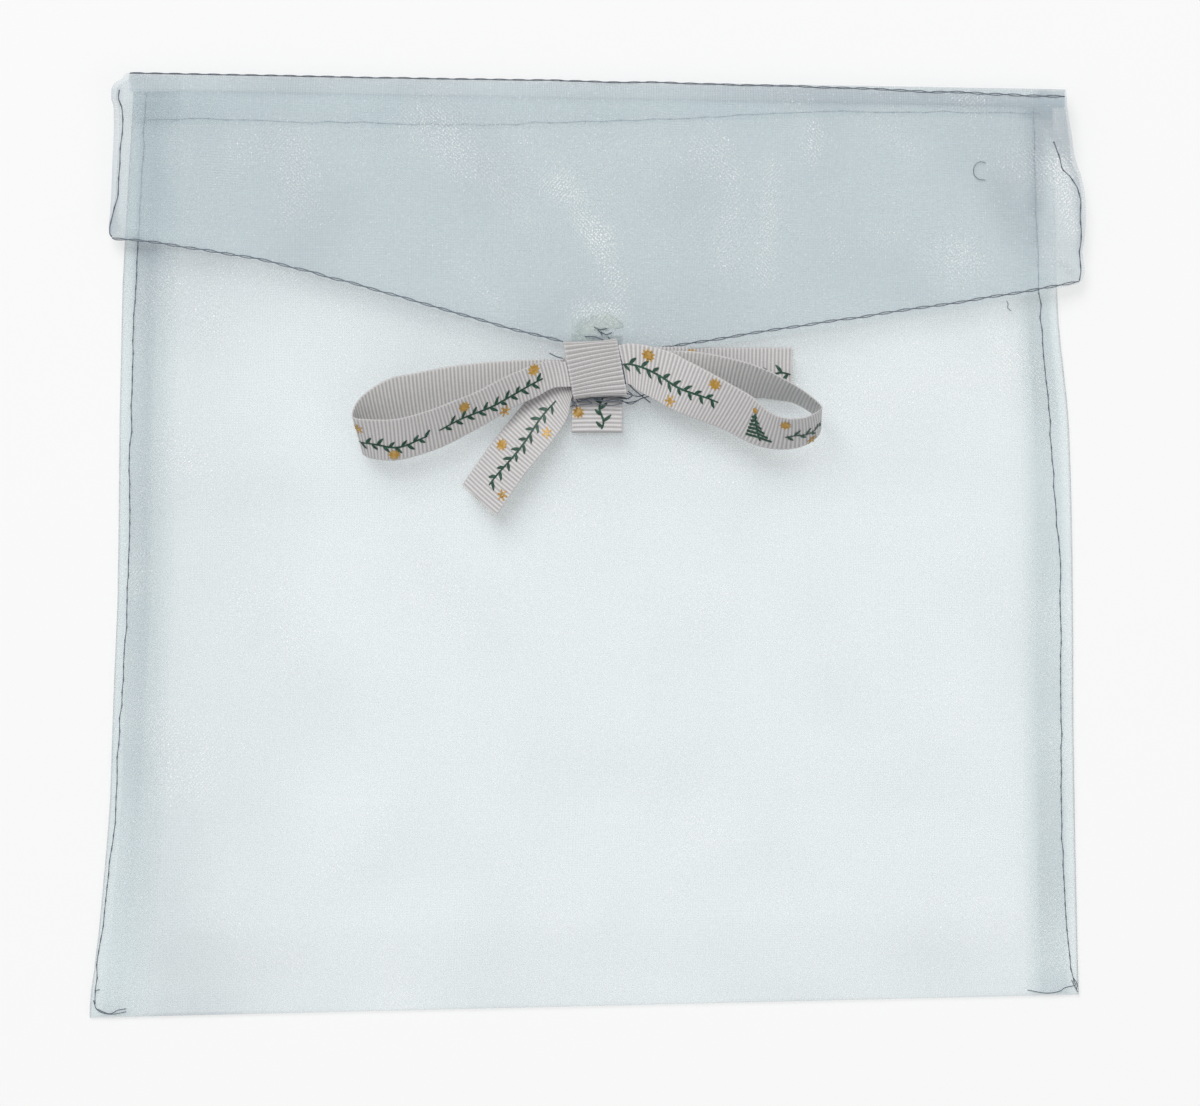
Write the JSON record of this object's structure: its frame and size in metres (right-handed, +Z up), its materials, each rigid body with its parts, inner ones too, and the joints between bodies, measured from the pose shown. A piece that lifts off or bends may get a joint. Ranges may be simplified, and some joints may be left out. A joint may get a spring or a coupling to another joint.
{
  "type": "organza envelope",
  "caption": "Flat organza pocket with side seams and a two-ply pointed flap that turns on its fold line, dressed with a tied grosgrain ribbon bow at the tip.",
  "frame": {"origin": "on the surface the envelope lies on, under the middle of the pocket", "axes": "+Z up through the pocket towards the bow, +Y towards the flap's fold line, +X to the right with the flap side up"},
  "size_m": [0.198, 0.1889, 0.0212],
  "materials": {
    "pocket_organza": "woven, sheer, soft sparkle",
    "flap_organza": "woven, sheer, soft sparkle",
    "grosgrain_ribbon": "ribbed, satin",
    "sewing_thread": "twisted, dull"
  },
  "bodies": {
    "pocket": {"back_panel": "pocket_organza", "front_panel": "pocket_organza", "left_seam_thread": "sewing_thread", "right_seam_thread": "sewing_thread", "mouth_hem_thread": "sewing_thread"},
    "flap": {"flap_lining": "flap_organza", "flap_outer": "flap_organza", "fold_seam_thread": "sewing_thread", "flap_edge_thread": "sewing_thread", "bow_tab": "grosgrain_ribbon", "bow_tails": "grosgrain_ribbon", "bow_loops": "grosgrain_ribbon", "knot_band": "grosgrain_ribbon", "bow_tack_thread": "sewing_thread"}
  },
  "joints": [
    {"name": "flap_fold", "type": "hinge", "parent": "pocket", "child": "flap", "pos_m": [0, 0.09205, 0.00343], "axis": [-0.9998, 0.0175, 0], "range_deg": [0, 160]}
  ]
}
